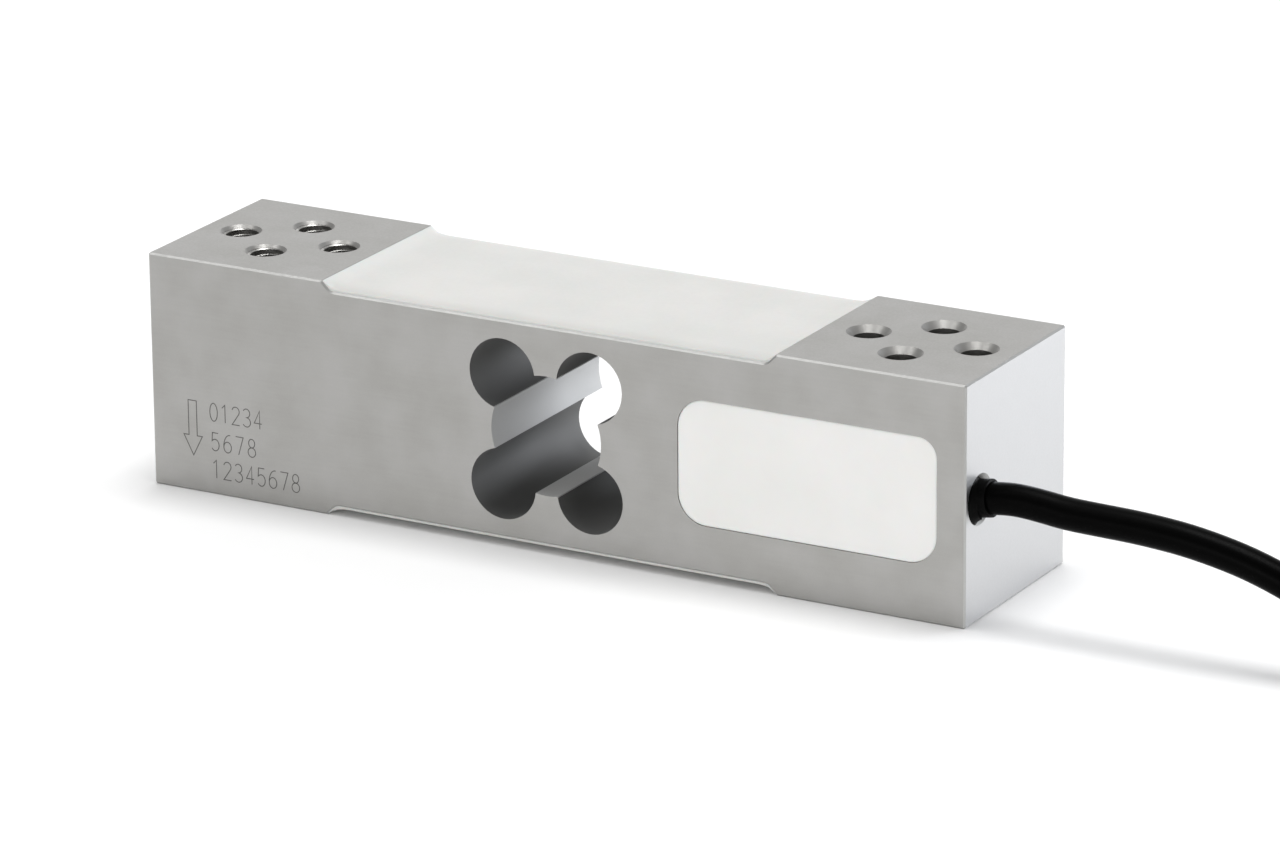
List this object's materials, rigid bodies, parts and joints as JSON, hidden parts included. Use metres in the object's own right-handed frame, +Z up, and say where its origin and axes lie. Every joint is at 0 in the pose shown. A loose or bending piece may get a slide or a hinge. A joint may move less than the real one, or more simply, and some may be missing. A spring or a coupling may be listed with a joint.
{
  "type": "single point load cell",
  "caption": "Rectangular aluminium bending beam with a clover-shaped through bore, silicone-covered gauges, a potted wiring pocket, tapped ends and a fixed cable.",
  "frame": {"origin": "centre of the block's underside, halfway along and across it; the cable isn't counted", "axes": "+X along the block towards the cable end, +Z up from the mounting side to the loaded side, and the wiring pocket looks towards -Y"},
  "size_m": [0.3783, 0.0494, 0.04],
  "materials": {
    "machined_aluminium": "bead-blasted and clear anodised, satin",
    "white_silicone": "smooth, soft sheen",
    "gauge_film": "amber polyimide film, glossy",
    "gauge_foil": "etched constantan foil, satin",
    "tinned_copper": "tinned, satin",
    "copper_track": "bare copper, satin",
    "solder": "bright solder",
    "circuit_board": "glass epoxy laminate with a green mask",
    "chip_ceramic": "glazed ceramic",
    "lead_enamel": "enamel insulation",
    "insulation_red": "smooth",
    "insulation_black": "smooth",
    "insulation_green": "smooth",
    "insulation_white": "smooth",
    "cable_jacket": "semi-matt polyurethane jacket",
    "shrink_sleeve": "semi-matt shrink sleeve",
    "crimp_metal": "nickel-plated brass, satin",
    "black_sealant": "matt",
    "tie_nylon": "smooth nylon"
  },
  "bodies": {
    "root": {"spring_element": "machined_aluminium", "top_coat": "white_silicone", "top_load_gauge_carrier": "gauge_film", "top_load_gauge_grid": "gauge_foil", "top_fixed_gauge_carrier": "gauge_film", "top_fixed_gauge_grid": "gauge_foil", "top_terminal_strip": "gauge_film", "top_gauge_jumpers": "tinned_copper", "top_bridge_leads": "lead_enamel", "bottom_coat": "white_silicone", "bottom_load_gauge_carrier": "gauge_film", "bottom_load_gauge_grid": "gauge_foil", "bottom_fixed_gauge_carrier": "gauge_film", "bottom_fixed_gauge_grid": "gauge_foil", "bottom_terminal_strip": "gauge_film", "bottom_gauge_jumpers": "tinned_copper", "bottom_bridge_leads": "lead_enamel", "terminal_board": "circuit_board", "board_copper": "copper_track", "solder_beads": "solder", "zero_balance_resistor": "chip_ceramic", "zero_temperature_resistor": "chip_ceramic", "span_temperature_resistors": "chip_ceramic", "input_trim_resistor": "chip_ceramic", "red_core": "insulation_red", "black_core": "insulation_black", "screen_core": "tinned_copper", "green_core": "insulation_green", "white_core": "insulation_white", "cable_jacket_end": "cable_jacket", "cable_crimp": "crimp_metal", "entry_sealant": "black_sealant", "pocket_potting": "white_silicone", "cable_sleeve": "shrink_sleeve", "cable": "cable_jacket", "cable_hank": "cable_jacket", "cable_tail": "cable_jacket", "hank_tie_1": "tie_nylon", "hank_tie_2": "tie_nylon", "tail_red_core": "insulation_red", "tail_black_core": "insulation_black", "tail_screen_core": "tinned_copper", "tail_green_core": "insulation_green", "tail_white_core": "insulation_white", "tail_tinned_ends": "tinned_copper"}
  },
  "joints": []
}
